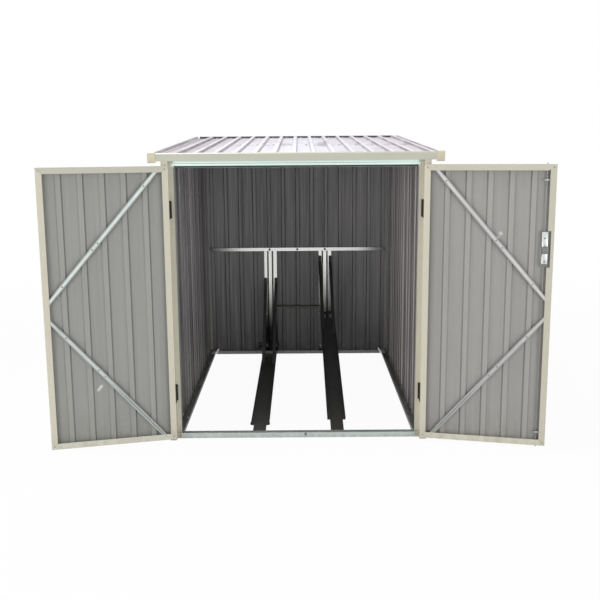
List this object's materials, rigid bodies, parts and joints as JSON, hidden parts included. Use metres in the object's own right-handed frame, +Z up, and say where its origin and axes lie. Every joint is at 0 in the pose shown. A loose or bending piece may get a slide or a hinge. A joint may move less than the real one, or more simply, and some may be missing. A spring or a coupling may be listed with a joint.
{
  "type": "bike shelter",
  "caption": "Sheet steel bike shelter with a low single-slope ribbed roof, a pair of braced outward-opening doors, an open floor frame and wheel tracks with holder arms.",
  "frame": {"origin": "middle of the front floor rail's underside, in the middle of the doorway", "axes": "+X to the right as seen from the front, +Y from the doorway to the back wall, +Z up"},
  "size_m": [2.628, 2.2242, 1.6674],
  "materials": {
    "cream_paint": "satin powder coat",
    "coated_sheet": "satin coil coating, grey inside and cream outside",
    "roof_coating": "satin coil coating, weathered",
    "galvanised_steel": "hot-dip zinc with a soft spangle",
    "black_coating": "satin black powder coat",
    "cap_plastic": "moulded, slightly yellowed cream",
    "zinc_plated_steel": "bright zinc plating"
  },
  "bodies": {
    "shed": {"back_corner_posts": "cream_paint", "back_mid_rail": "galvanised_steel", "fascia_corner_caps": "cap_plastic", "floor_rail_back": "galvanised_steel", "floor_rail_front": "galvanised_steel", "floor_rail_left": "galvanised_steel", "floor_rail_right": "galvanised_steel", "front_fascia": "cream_paint", "front_header": "galvanised_steel", "front_post_left": "cream_paint", "front_post_right": "cream_paint", "hinge_leaves_fixed": "black_coating", "rack_arms_high": "black_coating", "rack_arms_low": "black_coating", "rack_crossbar": "black_coating", "rack_post_left": "galvanised_steel", "rack_post_right": "galvanised_steel", "roof_sheet": "roof_coating", "top_rail_back": "galvanised_steel", "top_rails_side": "galvanised_steel", "track_bracket_high": "galvanised_steel", "wall_back": "coated_sheet", "wall_left": "coated_sheet", "wall_right": "coated_sheet", "wheel_track_high": "black_coating", "wheel_track_low": "black_coating"},
    "left_door": {"left_door_braces": "galvanised_steel", "left_door_free_stile": "cream_paint", "left_door_hinge_leaves": "black_coating", "left_door_hinge_stile": "cream_paint", "left_door_rails": "cream_paint", "left_door_sheet": "coated_sheet"},
    "right_door": {"right_door_braces": "galvanised_steel", "right_door_free_stile": "cream_paint", "right_door_hinge_leaves": "black_coating", "right_door_hinge_stile": "cream_paint", "right_door_rails": "cream_paint", "right_door_sheet": "coated_sheet", "lock_plate": "zinc_plated_steel", "lock_covers": "zinc_plated_steel", "lock_case": "zinc_plated_steel", "lock_rod_guides": "zinc_plated_steel"},
    "upper_bolt_rod": {"lock_rod_upper": "zinc_plated_steel"},
    "lower_bolt_rod": {"lock_rod_lower": "zinc_plated_steel"}
  },
  "joints": [
    {"name": "left_door_hinge", "type": "hinge", "parent": "shed", "child": "left_door", "pos_m": [-0.67, -0.0695, 0.77], "axis": [0, 0, 1], "range_deg": [-12, 166]},
    {"name": "right_door_hinge", "type": "hinge", "parent": "shed", "child": "right_door", "pos_m": [0.67, -0.0695, 0.77], "axis": [0, 0, -1], "range_deg": [-12, 167]},
    {"name": "upper_bolt_slide", "type": "slide", "parent": "right_door", "child": "upper_bolt_rod", "axis": [0, 0, 1], "range_m": [-0.012, 0]},
    {"name": "lower_bolt_slide", "type": "slide", "parent": "right_door", "child": "lower_bolt_rod", "axis": [0, 0, 1], "range_m": [0, 0.012]}
  ],
  "couplings": [
    {"joint": "lower_bolt_slide", "follows": "upper_bolt_slide", "ratio": -1}
  ]
}
